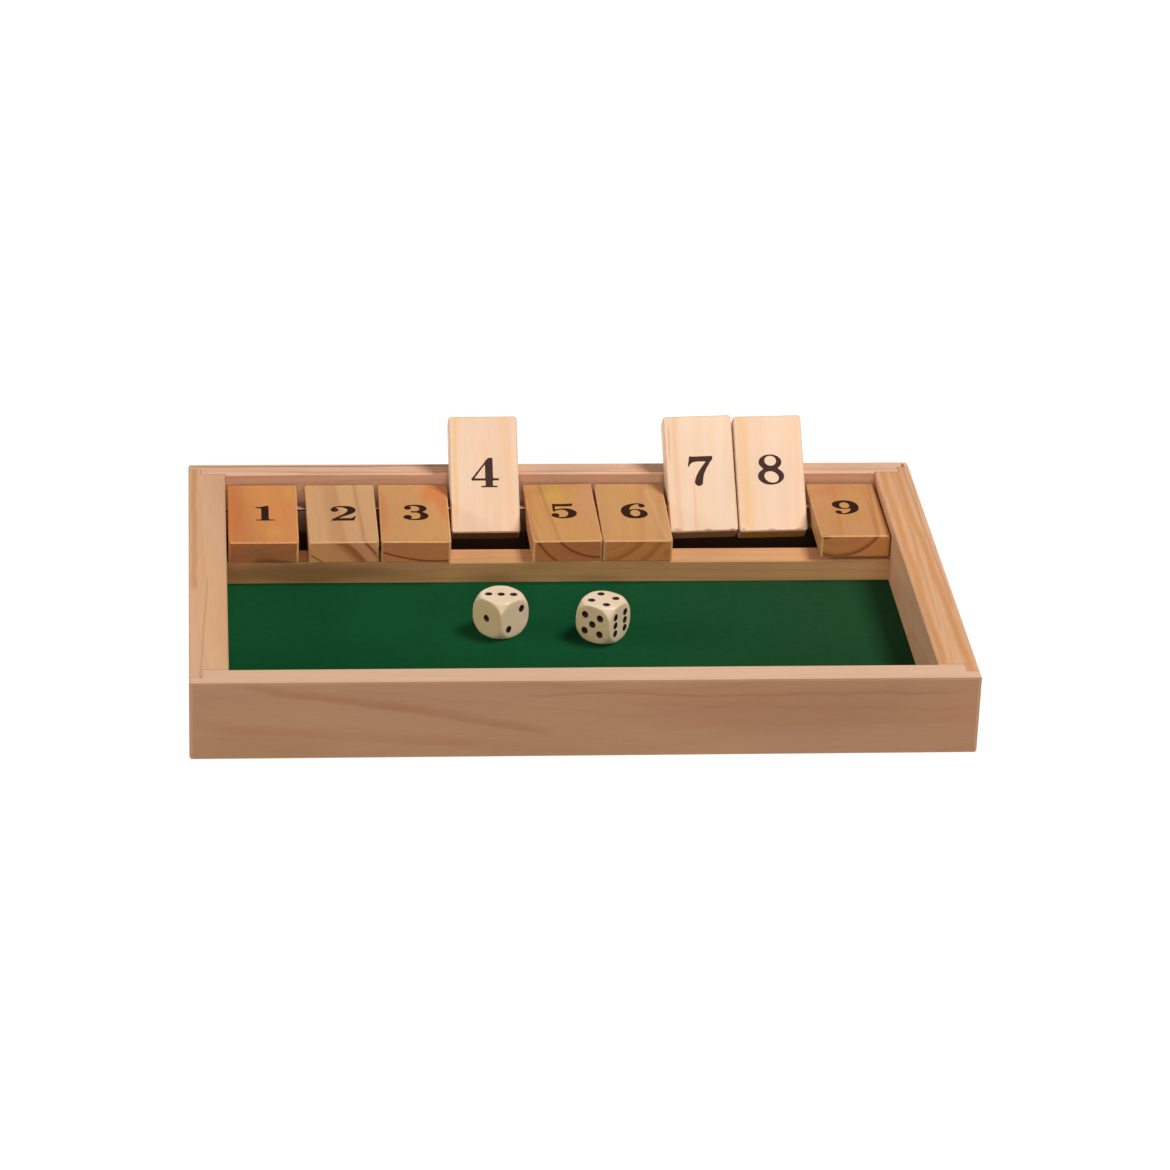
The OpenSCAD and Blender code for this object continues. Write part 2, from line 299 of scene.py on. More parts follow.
    tone = m.math("MULTIPLY", tone, m.math("MULTIPLY_ADD", tiny, fibre, 1 - fibre / 2))
    tone = m.math("MULTIPLY", tone, m.math("MULTIPLY_ADD", wash, 0.20, 0.90))
    col = m.scale(col, tone)
    tint = (*end, 1) if other is None else m.mix(m.step(along, -1.0, 1.0), (*other, 1), (*end, 1))
    col = m.mix(ends, col, m.mix(1.0, col, tint, "MULTIPLY"))
    # faces turned the given way are tinted as painted light: darker as painted shade, lighter as a painted highlight
    for way, tint in painted_side_shading:
        k = m.step(m.vec("DOT_PRODUCT", normal, tuple(frame_turn @ Vector(way))), 0.45, 0.74)
        col = m.mix(k, col, m.mix(1.0, col, (*tint, 1), "MULTIPLY"))
    if wear_and_painted_edge_light:
        c, k = wear_and_painted_edge_light
        flat = None
        for axis in ((1, 0, 0), (0, 1, 0), (0, 0, 1)):
            d = m.math("ABSOLUTE", m.vec("DOT_PRODUCT", normal, tuple(frame_turn @ Vector(axis))))
            flat = d if flat is None else m.math("MAXIMUM", flat, d)
        # the arrises' mask, broken up by noise, for the painted highlight and painted shade along them
        edge_light_mask = m.math("MULTIPLY", m.step(flat, 0.99, 0.87), m.step(m.noise(p, 0.35, seed + 31, 3.0, 0.6), 0.25, 0.6, 0.35, 1.0))
        col = m.mix(m.math("MULTIPLY", edge_light_mask, k), col, c)
    if seams:
        near = None
        for x0, y0, x1, y1 in seams:
            mid = ((x0 + x1) / 2, (y0 + y1) / 2, 0)
            hold = (abs(x1 - x0) / 2, abs(y1 - y0) / 2, 1e3)
            d = m.vec("SUBTRACT", m.vec("ABSOLUTE", m.vec("SUBTRACT", own, mid)), hold)
            d = m.vec("LENGTH", m.vec("MAXIMUM", d, (0, 0, 0)))
            near = d if near is None else m.math("MINIMUM", near, d)
        k = m.math("MULTIPLY", m.step(near, 0.36, 0.05), m.step(m.noise(own, 0.45, seed + 37, 3.0, 0.6), 0.2, 0.65, 0.15, 0.75))
        col = m.mix(k, col, m.mix(1.0, col, (0.50, 0.36, 0.27, 1), "MULTIPLY"))
    m.set("Base Color", col)
    m.set("Roughness", m.math("MULTIPLY_ADD", fib, 0.14, m.math("MULTIPLY_ADD", ends, 0.10, rough - 0.07)))
    m.set("Specular IOR Level", 0.22)
    m.set("Coat Weight", coat)
    m.set("Coat Roughness", 0.32)
    h = m.math("MULTIPLY_ADD", fib, 0.030, m.math("MULTIPLY", tiny, 0.012))
    h = m.math("ADD", h, m.math("MULTIPLY", ring, 0.016))
    h = m.math("ADD", h, m.math("MULTIPLY", m.noise(p, (0.05, 0.02, 0.05), seed + 23, 1.0), 0.10))
    m.bump(h, 0.55)
    return m.mat


def dress(node, mat):
    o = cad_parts[node]
    if not o.material_slots:
        o.data.materials.append(mat)
    for s in o.material_slots:
        s.link = "OBJECT"
        s.material = mat
    return o


def ease(node, width, segments=2):
    """A small rounding on the edges that the construction leaves sharp."""
    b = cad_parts[node].modifiers.new("eased", "BEVEL")
    b.width = width / 1000
    b.segments = segments
    b.limit_method = "ANGLE"
    b.angle_limit = math.radians(28)
    b.harden_normals = False
    b.use_clamp_overlap = True


def corner(sx, sy):
    """The lapped joint's lines at one corner of the tray, from above."""
    y, half = (-90, -96) if sy < 0 else (88, 93)
    return [(sx * 135, y, sx * 145, y), (sx * 145, y, sx * 145, half), (sx * 145, half, sx * 150, half)]


def make_woods():
    dark, line = lin(120, 74, 44), lin(188, 126, 92)
    # the front rail's outer front face is tinted darker: painted shade
    front = ((0, -1, 0), (0.53, 0.43, 0.34))
    dress("front_rail", pine("pine_front_rail", "x", pith=(-190, 4), lean=(4, -14), gap=3.4, seed=2.0, contrast=0.26,
                             wander=6, late=lin(198, 148, 116), zone=lin(222, 182, 148), painted_side_shading=(front,), faces=(
                                 ((0, -1, 0), 29.6, 20.0, 2.4, 0.42, lin(196, 132, 94), -128, -64),
                                 ((0, -1, 0), 23.0, 9.5, 2.8, 0.38, lin(196, 132, 92), -80, -14),
                                 ((0, -1, 0), 13.5, 5.0, 3.0, 0.28, lin(206, 142, 96), -146, -40),
                                 ((0, -1, 0), 26.2, 25.6, 0.9, 0.40, lin(206, 130, 94), -24, 140),
                                 ((0, -1, 0), 22.0, 19.0, 1.5, 0.22, lin(208, 144, 104), 10, 150),
                                 ((0, -1, 0), 12.5, 14.0, 2.2, 0.18, lin(214, 150, 98), 30, 148)),
                             blots=((-102, 146, 16, 4, 18, 30, 0.25, lin(226, 168, 130)), (-102, -20, 6, 4, 70, 9, 0.4, lin(216, 178, 128)),
                                    (-102, -120, 6, 4, 34, 12, 0.4, lin(206, 168, 118)), (-102, 70, 20, 4, 90, 14, 0.45, lin(206, 156, 124)), (-92.3, 147.2, 32, 2.6, 0.9, 3, 0.9, dark),
                                    (-96.2, -145.5, 32, 1.1, 0.5, 3, 0.8, dark)),
                             seams=corner(-1, -1) + corner(1, -1)))
    dress("back_rail", pine("pine_back_rail", "x", pith=(120, -50), gap=4.0, seed=4.0, contrast=0.42, wander=5,
                            base=lin(233, 187, 157), zone=lin(225, 179, 143), late=lin(192, 137, 105),
                            streaks=((95.3, 96.3, 1.1, 0.7, lin(150, 100, 74), -150, -40), (89.8, 89.2, 0.9, 0.5, lin(190, 132, 98), -110, 60)),
                            # The second blot darkens the lower inner face along the whole rail: painted shade of the
                            # trench.
                            blots=((94, 147.5, 32, 3.4, 1.0, 3, 0.85, dark), (88, 0, 4, 4, 220, 18, 0.85, lin(70, 36, 20))),
                            # The back rail's inner face is tinted a little darker: painted shade.
                            painted_side_shading=(((0, -1, 0), (1.0, 0.97, 0.92)),), seams=corner(-1, 1) + corner(1, 1)))
    dress("left_rail", pine("pine_left_rail", "y", span=(-102, 98), pith=(-190, -70), lean=(-9, 0), gap=5.0, seed=6.0,
                            contrast=0.30, wander=6, base=lin(222, 174, 138), zone=lin(222, 172, 126), late=lin(190, 136, 96),
                            streaks=((-147.4, -147.8, 1.8, 0.65, lin(200, 142, 92), -20, 98), (-146.0, -139.0, 0.8, 0.35, lin(180, 130, 92), -100, -10)),
                            # The left rail's inner face is tinted darker: painted shade.
                            painted_side_shading=(((1, 0, 0), (0.95, 0.9, 0.84)),), seams=corner(-1, -1) + corner(-1, 1)))
    ochre = lin(206, 142, 86)
    dress("right_rail", pine("pine_right_rail", "y", span=(-102, 98), pith=(172, 6), lean=(10, 0), gap=4.2, seed=8.0,
                             contrast=0.40, wander=3.5, base=lin(224, 176, 138), zone=lin(216, 162, 114), late=lin(198, 132, 82),
                             streaks=((136.8, 138.2, 2.2, 0.75, ochre, -96, 96), (146.6, 143.6, 2.3, 0.75, ochre, -98, 96),
                                      (140.4, 142.0, 1.1, 0.4, lin(200, 134, 84), -60, 92), (148.6, 147.0, 0.9, 0.45, lin(190, 122, 76), -40, 96)),
                             # The right rail's inner face is tinted lighter: painted light.
                             painted_side_shading=(((-1, 0, 0), (1.15, 1.12, 1.16)),), seams=corner(1, -1) + corner(1, 1)))
    dress("stop_rail", pine("pine_stop_rail", "x", pith=(20, -30), gap=3.0, seed=10.0, contrast=0.4, wander=3.5,
                            base=lin(218, 161, 114), zone=lin(214, 154, 100), late=lin(188, 120, 72),
                            # The stop rail's front face is tinted a little darker as painted shade, and the first blot
                            # darkens its left end as painted shade.
                            painted_side_shading=(((0, -1, 0), (0.97, 0.99, 0.94)),),
                            blots=((36, -104, 11, 4, 66, 8, 0.85, lin(140, 102, 62)), (36, -10, 11, 4, 50, 8, 0.4, lin(186, 148, 94)),
                                   (36, 110, 11, 4, 60, 8, 0.35, lin(226, 180, 124)))))
    dress("base_board", pine("plywood_board", "x", pith=(0, -900), gap=38.0, seed=12.0, base=lin(214, 184, 146),
                             zone=lin(205, 170, 126), late=lin(172, 128, 82), contrast=0.35, wander=60, coat=0.0, rough=0.7))
    brown, pink, rust = lin(148, 86, 44), lin(206, 146, 106), lin(208, 122, 62)
    cream = dict(base=lin(250, 215, 186), zone=lin(247, 206, 169), late=lin(234, 182, 143), zones=0.85, wander=3.4, fibre=0.055)
    sawn, fleck = (0.95, 0.80, 0.68), lin(158, 106, 72)
    tiles = {
        1: dict(base=lin(212, 135, 79), zone=lin(212, 145, 81), late=lin(178, 104, 54), pith=(-6, 40), lean=(-2, 0), gap=6.0,
                contrast=0.10, rings=((43.5, 5.0, 0.3),), end=(0.82, 0.80, 0.84), end_contrast=0.3,
                blots=((-12, -14, 4, 6, 34, 6, 0.6, lin(210, 124, 66)), (4, -30, 4, 10, 9, 8, 0.55, lin(208, 152, 80)),
                       (11, 5, 4, 5, 12, 8, 0.6, lin(208, 154, 82)), (-3, -39, -0.5, 10, 2.5, 3.6, 0.6, lin(158, 124, 98)),
                       (9, -39, 1, 4, 2.5, 3, 0.5, lin(188, 136, 98)), (3, -38.5, -5, 12, 3, 3.2, 0.75, lin(104, 66, 40)))),
        2: dict(base=lin(208, 158, 113), zone=lin(210, 164, 111), late=brown, pith=(-34, -36), lean=(-2.8, 0), gap=5.2,
                contrast=0.08, rings=((41.2, 1.0, 0.9), (53.8, 5.0, 0.8), (60.0, 1.6, 1.0)),
                end=(1.37, 1.12, 0.96), end_contrast=0.15,
                blots=((3, -38.5, 0, 4, 3, 4, 0.35, lin(206, 146, 116)),),
                streaks=((-4.0, -6.5, 3.2, 0.3, lin(200, 144, 100), -38, 12),)),
        3: dict(base=lin(206, 150, 96), zone=lin(206, 152, 88), late=lin(140, 76, 40), pith=(8, 49), lean=(0, 0), gap=6.4,
                contrast=0.08, rings=((53.7, 1.1, 1.0),), end=(1.20, 0.87, 0.88), end_contrast=0.15,
                blots=((9.5, 5, 4, 9, 16, 12, 0.75, lin(210, 122, 66)), (13, -10, 4, 6, 18, 12, 0.7, lin(208, 124, 68)),
                       (-13, -12, 4, 3.5, 30, 12, 0.45, lin(204, 124, 72)), (7, -38, 4.5, 9, 4, 2, 0.5, lin(196, 142, 72)),
                       (-10, -38.5, -4.6, 8, 3, 2.6, 0.6, lin(208, 164, 108)))),
        # on tiles 4, 7 and 8 end darkens the hinge end: darker end grain and painted shade of the trench it faces
        4: dict(pith=(-30, 18), gap=3.4, contrast=0.12, end=(0.35, 0.20, 0.09), other=sawn,
                streaks=((-11.6, -12.4, 1.6, 0.7, lin(246, 200, 140), -38, 8), (9.0, 10.5, 2.5, 0.4, lin(246, 196, 152), -38, 12)), **cream),
        5: dict(base=lin(204, 146, 94), zone=lin(206, 150, 84), late=lin(136, 74, 38), pith=(13.7, 19.4), lean=(-5, 0), gap=4.8,
                contrast=0.08, rings=((22.3, 1.3, 0.9), (29.5, 1.3, 0.85)), end=(1.02, 0.74, 0.68), end_contrast=0.15,
                blots=((-2, 2, 4, 6, 16, 8, 0.75, lin(210, 162, 78)), (10.5, 0, 4, 5, 20, 10, 0.7, pink),
                       (4, -38, 4.5, 5, 5, 3.0, 0.7, lin(198, 150, 76)), (1, -38.5, -1, 4, 3, 3, 0.4, lin(206, 134, 106)),
                       (-13.5, -10, 4, 2.5, 30, 12, 0.5, lin(206, 128, 82)))),
        6: dict(base=lin(203, 149, 98), zone=lin(205, 151, 90), late=lin(152, 86, 40), pith=(-17.9, 18.6), lean=(3, 0), gap=5.0,
                contrast=0.08, rings=((25.2, 3.2, 0.5), (31.8, 3.0, 0.45), (20.0, 1.0, 0.25)), end=(1.22, 0.92, 0.72), end_contrast=0.15,
                blots=((13, -38.5, -1, 3, 3, 5, 0.6, lin(196, 110, 62)), (-2, -38.5, 4.4, 7, 3, 2, 0.4, lin(206, 136, 74))),
                streaks=((-0.5, 0.0, 0.8, 0.5, lin(208, 138, 80), -12, 12), (12.5, 6.0, 1.3, 0.35, lin(218, 172, 114), -38, 8))),
        7: dict(pith=(30, 30), gap=4.2, contrast=0.12, end=(0.60, 0.42, 0.255), other=sawn,
                blots=((-10.5, 11.2, -4.8, 3.2, 0.8, 2, 0.6, fleck), (2, 11.3, -4.8, 2.2, 0.7, 2, 0.5, fleck),
                       (12, 11.2, -4.8, 1.4, 0.8, 2, 0.6, fleck)),
                streaks=((-13.0, -13.0, 0.6, 0.5, lin(208, 154, 110), -33, -20), (-11.0, -9.0, 1.8, 0.55, lin(246, 198, 152), -38, 12),
                         (-4.0, -3.0, 0.8, 0.5, lin(244, 192, 150), -12, 12)),
                **{**cream, "base": lin(253, 220, 191), "zone": lin(250, 211, 174)}),
        8: dict(pith=(-26, -40), gap=4.2, contrast=0.12, end=(0.74, 0.53, 0.155), other=sawn,
                blots=((-12.5, 11.2, -4.8, 1.6, 0.8, 2, 0.55, fleck), (-0.5, 11.3, -4.8, 2.6, 0.7, 2, 0.5, fleck),
                       (10.5, 11.2, -4.8, 2.0, 0.7, 2, 0.5, fleck), (-12, 6, -4.8, 3, 5, 2, 0.3, lin(244, 192, 144))),
                streaks=((-11.5, -10.0, 3.0, 0.6, lin(246, 198, 138), -38, 12), (12.0, 10.5, 1.6, 0.35, lin(246, 196, 150), -38, 12)), **cream),
        9: dict(base=lin(200, 143, 91), zone=lin(202, 143, 80), late=lin(136, 70, 34), pith=(-7, 14), lean=(2, 1), gap=5.4,
                contrast=0.08, rings=((19.2, 2.0, 0.8),), end=(1.18, 1.01, 0.84), end_contrast=0.15,
                blots=((2, -38.5, 3, 5, 3, 4, 0.6, lin(210, 128, 98)), (0, -30, 5, 8, 10, 6, 0.4, pink),
                       (-12, -38.5, 4.2, 3.4, 3, 1.2, 0.8, lin(120, 66, 32)), (-5, 4, 5, 7, 10, 6, 0.5, lin(208, 134, 90))),
                streaks=((-5.5, -3.0, 1.2, 0.5, rust, -34, 8), (9.5, 9.0, 0.9, 0.15, brown, -38, 12))),
    }
    for n, kw in tiles.items():
        turn = (UP if n in RAISED else DOWN - LIFT.get(n, 0), 0, 0)
        # edge is painted light on the tiles' arrises: darker as painted shade on the tiles that stand up, paler as a
        # painted highlight on the others
        edge = (lin(214, 168, 130), 0.5) if n in RAISED else (lin(240, 188, 132), 0.55)
        kw = {"wander": 1.6, **kw}
        dress(f"tile_{n}", pine(f"pine_tile_{n}", "y", loc=(TILE_X[n - 1], ROD_Y, ROD_Z), turn=turn, span=(-38, 12),
                                seed=20.0 + n * 2.3, wear_and_painted_edge_light=edge, **kw))
    for n in ("front_rail", "back_rail", "left_rail", "right_rail", "stop_rail"):
        ease(n, 0.22)
    for n in range(1, 10):
        ease(f"tile_{n}", 0.3, 3)


def make_metals():
    m = Net("drawn_steel", Metallic=1.0, Roughness=0.3)
    p, _ = m.place()
    lines = m.noise(p, (0.05, 9.0, 9.0), 3.0, 2.0)
    spots = m.noise(p, 0.35, 5.0, 2.0)
    # the steel's warm pink tint is a painted reflection of the pine round the rod
    m.set("Base Color", m.ramp(m.math("MULTIPLY_ADD", spots, 0.6, m.math("MULTIPLY", lines, 0.4)),
                               [(0.25, lin(158, 134, 120)), (0.55, lin(192, 166, 150)), (0.8, lin(210, 184, 168))]))
    m.set("Roughness", m.math("MULTIPLY_ADD", lines, 0.2, 0.38))
    m.bump(m.math("MULTIPLY", lines, 0.012), 0.5)
    dress("hinge_rod", m.mat)
    m = Net("brad_steel", Metallic=1.0)
    p, _ = m.place()
    spots = m.noise(p, 1.4, 9.0, 3.0)
    m.set("Base Color", m.ramp(spots, [(0.3, lin(112, 108, 104)), (0.6, lin(160, 158, 156)), (0.8, lin(128, 108, 92))]))
    m.set("Roughness", m.math("MULTIPLY_ADD", spots, 0.3, 0.3))
    m.bump(m.math("MULTIPLY", spots, 0.02), 0.5)
    dress("corner_brads", m.mat)
    dress("stop_rail_brads", m.mat)


# -------------------------------------------------------------------- felt
def felt_material():
    m = Net("green_felt", Roughness=0.95)
    p, _ = m.place()
    haze = m.noise(p, 0.014, 2.0, 3.0, 0.55)
    clump = m.noise(p, 0.35, 4.0, 3.0, 0.6)
    hair = m.noise(p, (1.6, 3.4, 2.0), 6.0, 3.0, 0.7, twist=0.9)
    speck = m.noise(p, 4.2, 8.0, 2.0, 0.6)
    col = m.mix(m.step(haze, 0.3, 0.7), lin(8, 70, 37), lin(12, 76, 40))
    # darker and greyer towards the right wall: painted shade
    col = m.mix(m.step(m.parts(p)[0], -10.0, 130.0), col, lin(26, 66, 36))
    k = m.math("MULTIPLY_ADD", clump, 0.30, 0.85)
    k = m.math("MULTIPLY", k, m.math("MULTIPLY_ADD", hair, 0.5, 0.75))
    k = m.math("MULTIPLY", k, m.math("MULTIPLY_ADD", speck, 0.3, 0.85))
    y = m.parts(p)[1]
    # the felt behind the stop rail is made dark brown, a bare board's colour darkened as painted shade of the trench
    trench_shade = m.step(y, 40.0, 47.0)
    col = m.mix(trench_shade, col, lin(80, 52, 31))
    m.set("Base Color", m.scale(col, k))
    m.set("Specular IOR Level", 0.04)
    m.set("Sheen Weight", 0.03)
    m.set("Sheen Roughness", 0.5)
    m.set("Sheen Tint", (0.45, 0.8, 0.5, 1))
    h = m.math("MULTIPLY_ADD", hair, 0.10, m.math("MULTIPLY", speck, 0.05))
    m.bump(m.math("MULTIPLY_ADD", clump, 0.08, h), 0.7)
    return m.mat


def make_felt():
    """One pressed sheet from wall to wall, a hair lower along its cut edges and under the stop rail."""
    x0, x1, y0, y1, z0, z1 = -134.98, 134.98, -89.98, 87.98, 6.1, 6.88
    nx, ny = 136, 90
    xs, ys = np.linspace(x0, x1, nx), np.linspace(y0, y1, ny)
    X, Y = np.meshgrid(xs, ys, indexing="ij")
    edge = np.minimum(np.minimum(X - x0, x1 - X), np.minimum(Y - y0, y1 - Y))
    wave = (np.sin(X * 0.043 + 1.1) * np.cos(Y * 0.051 - 0.4) + np.sin(X * 0.11 + Y * 0.07) * 0.5
            + np.sin(X * 0.31 - Y * 0.23 + 2.0) * 0.25) / 1.75
    Z = z1 - 0.02 - 0.02 * wave - 0.16 * np.exp(-edge / 1.6)
    Z = np.where((Y > 35.5) & (Y < 50), z1 - 0.05, Z)
    top = [Vector((a, b, c)) / 1000 for a, b, c in zip(X.ravel(), Y.ravel(), Z.ravel())]
    low = [Vector((a, b, z0)) / 1000 for a, b in zip(X.ravel(), Y.ravel())]
    me = bpy.data.meshes.new("felt_sheet")
    n = nx * ny
    faces = []
    for i in range(nx - 1):
        for j in range(ny - 1):
            a, b, c, d = i * ny + j, (i + 1) * ny + j, (i + 1) * ny + j + 1, i * ny + j + 1
            faces += [(a, b, c, d), (d + n, c + n, b + n, a + n)]
    for i in range(nx - 1):
        a, b = i * ny, (i + 1) * ny
        faces.append((a, a + n, b + n, b))
        a, b = a + ny - 1, b + ny - 1
        faces.append((b, b + n, a + n, a))
    for j in range(ny - 1):
        faces.append((j + 1, j + 1 + n, j + n, j))
        a = (nx - 1) * ny + j
        faces.append((a, a + n, a + 1 + n, a + 1))
    me.from_pydata([tuple(v) for v in top + low], [], faces)
    me.validate()
    for f in me.polygons:
        f.use_smooth = True
    me.set_sharp_from_angle(angle=math.radians(50))
    o = bpy.data.objects.new("felt_sheet", me)
    bpy.context.scene.collection.objects.link(o)
    me.materials.append(felt_material())
    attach(o, "tray")
    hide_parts("play_felt")


# ---------------------------------------------------------------- numerals
# Bold numerals of the plain printer's kind, 13 mm high, drawn as fields that
# are negative inside: round strokes, ellipses and straight-sided pieces.
def f_stroke(X, Y, pts, n=24):
    P = np.array(pts, float)
    Q = np.vstack([2 * P[0] - P[1], P, 2 * P[-1] - P[-2]])
    out = np.full(X.shape, 1e3)
    for i in range(1, len(Q) - 2):
        p0, p1, p2, p3 = Q[i - 1], Q[i], Q[i + 1], Q[i + 2]
        for t in np.linspace(0, 1, n, endpoint=False):
            c = 0.5 * ((2 * p1) + (p2 - p0) * t + (2 * p0 - 5 * p1 + 4 * p2 - p3) * t * t
                       + (3 * p1 - p0 - 3 * p2 + p3) * t ** 3)
            out = np.minimum(out, np.hypot(X - c[0], Y - c[1]) - c[2] / 2)
    c = Q[-2]
    return np.minimum(out, np.hypot(X - c[0], Y - c[1]) - c[2] / 2)


def f_ell(X, Y, cx, cy, a, b, rot=0.0):
    r = np.radians(rot)
    u = (X - cx) * np.cos(r) + (Y - cy) * np.sin(r)
    v = -(X - cx) * np.sin(r) + (Y - cy) * np.cos(r)
    return (np.hypot(u / a, v / b) - 1) * min(a, b)


def f_poly(X, Y, pts):
    P = np.array(pts, float)
    d = np.full(X.shape, 1e3)
    inside = np.zeros(X.shape, bool)
    for a, b in zip(P, np.roll(P, -1, axis=0)):
        e = b - a
        t = np.clip(((X - a[0]) * e[0] + (Y - a[1]) * e[1]) / (e @ e), 0, 1)
        d = np.minimum(d, np.hypot(X - a[0] - t * e[0], Y - a[1] - t * e[1]))
        if a[1] != b[1]:
            inside ^= ((a[1] > Y) != (b[1] > Y)) & (X < (b[0] - a[0]) * (Y - a[1]) / (b[1] - a[1]) + a[0])
    return np.where(inside, -d, d)


def blend(*fs, k=0.35):
    out = fs[0]
    for f in fs[1:]:
        h = np.clip(0.5 + 0.5 * (f - out) / k, 0, 1)
        out = f * (1 - h) + out * h - k * h * (1 - h)
    return out


def numeral(n, X, Y):
    if n == 9:
        return numeral(6, 0.13 - X, 1.35 - Y)
    if n == 1:
        return blend(f_poly(X, Y, [(-0.6, -6.4), (2.4, -6.4), (2.4, 5.9), (1.7, 5.9), (-1.0, 4.9), (-2.9, 4.6),
                                   (-2.9, 3.8), (-1.3, 3.75), (-0.6, 3.3)]),
                     f_poly(X, Y, [(-2.9, -6.75), (4.8, -6.75), (4.8, -6.0), (-2.9, -6.0)]), k=0.9)
    if n == 2:
        return blend(f_ell(X, Y, -3.1, 2.7, 1.6, 1.6),
                     f_stroke(X, Y, [(-4.15, 3.1, 1.0), (-3.3, 4.6, 1.0), (-1.6, 5.4, 1.0), (0.6, 5.35, 1.3), (2.9, 4.4, 2.7),
                                     (3.85, 2.5, 3.3), (3.1, 0.5, 2.8), (1.1, -1.4, 1.8), (-1.4, -3.4, 1.3), (-4.0, -5.7, 1.1)]),
                     f_poly(X, Y, [(-4.9, -6.6), (4.55, -6.6), (5.45, -2.9), (4.75, -2.9), (4.2, -4.0), (3.3, -4.55),
                                   (0.2, -4.45), (-2.0, -4.5), (-3.6, -5.1)]), k=0.3)
    if n == 3:
        return blend(f_ell(X, Y, -2.6, 3.9, 1.45, 1.45), f_ell(X, Y, -2.75, -3.9, 1.75, 1.7),
                     f_stroke(X, Y, [(-3.5, 4.6, 0.9), (-2.2, 5.8, 1.0), (0.2, 6.1, 1.05), (2.5, 5.4, 2.0), (3.7, 3.6, 3.0),
                                     (3.1, 1.8, 2.3), (1.5, 0.75, 1.2), (-0.9, 0.5, 0.95)]),
                     f_stroke(X, Y, [(-0.9, 0.5, 0.95), (1.6, 0.2, 1.2), (3.3, -0.9, 2.3), (4.1, -3.0, 3.3), (3.2, -5.0, 2.3),
                                     (1.0, -6.0, 1.2), (-1.2, -6.1, 1.0), (-3.1, -5.2, 1.1), (-4.0, -4.3, 1.0)]), k=0.3)
    if n == 4:
        tri = np.maximum(f_poly(X, Y, [(2.0, 5.9), (3.75, 5.9), (3.75, -3.8), (-5.0, -3.8), (-5.05, -3.0)]),
                         -f_poly(X, Y, [(0.8, 3.35), (0.8, -2.9), (-3.8, -2.9)]))
        return blend(tri, f_poly(X, Y, [(0.8, -6.4), (3.75, -6.4), (3.75, 5.9), (0.8, 4.6)]),
                     f_poly(X, Y, [(3.0, -3.8), (6.3, -3.8), (6.3, -2.9), (3.0, -2.9)]),
                     f_poly(X, Y, [(-1.1, -6.75), (5.6, -6.75), (5.6, -6.1), (-1.1, -6.1)]), k=0.45)
    if n == 5:
        return blend(f_poly(X, Y, [(-3.8, 6.8), (-2.9, 6.45), (0.5, 6.35), (4.65, 6.7), (4.35, 4.5), (1.0, 4.3), (-3.4, 4.4)]),
                     f_poly(X, Y, [(-3.8, 6.7), (-2.75, 6.4), (-2.95, 0.9), (-4.0, 0.2)]),
                     f_stroke(X, Y, [(-3.5, 0.5, 0.9), (-2.2, 1.5, 0.9), (-0.2, 1.95, 1.1), (2.3, 1.2, 2.3), (3.9, -1.1, 3.5),
                                     (3.2, -3.7, 3.0), (1.4, -5.1, 1.6), (-0.8, -5.5, 1.1), (-2.9, -4.8, 1.1), (-4.15, -3.7, 1.1)]),
                     f_ell(X, Y, -3.2, -3.1, 1.6, 1.6), k=0.3)
    if n == 6:
        eye = f_ell(X, Y, 0.65, -1.4, 2.05, 2.8)
        bowl = np.maximum(f_ell(X, Y, 1.0, -1.95, 4.75, 4.05), -eye)
        arc = f_stroke(X, Y, [(4.5, 5.3, 1.0), (3.3, 6.4, 1.0), (1.3, 6.6, 1.0), (-1.2, 5.3, 1.9), (-2.9, 2.9, 3.1),
                              (-3.4, 0.2, 3.4), (-3.0, -2.4, 3.1), (-1.8, -4.5, 2.2), (0.4, -5.5, 1.1)])
        return np.maximum(blend(bowl, arc, f_ell(X, Y, 3.8, 4.9, 1.35, 1.35), k=0.3), -eye)
    if n == 7:
        return blend(f_poly(X, Y, [(-4.45, 6.55), (-3.4, 6.35), (5.1, 6.4), (5.1, 5.2), (4.4, 4.1), (-1.6, 4.15), (-3.2, 3.9),
                                   (-4.3, 3.0), (-4.75, 2.1), (-5.3, 2.1)]),
                     f_stroke(X, Y, [(4.4, 5.5, 1.3), (3.0, 3.6, 1.7), (1.5, 1.5, 2.0), (0.1, -0.9, 2.5), (-0.65, -2.9, 3.0),
                                     (-1.05, -4.7, 3.4)]), k=0.3)
    body = blend(f_ell(X, Y, 0.35, 3.75, 4.75, 3.35), f_ell(X, Y, 0.45, -2.3, 5.45, 3.7), k=0.8)
    body = np.maximum(body, -f_ell(X, Y, 0.5, 4.35, 2.45, 2.15, -8))
    return np.maximum(body, -f_ell(X, Y, 0.65, -2.65, 3.1, 2.35, -22))


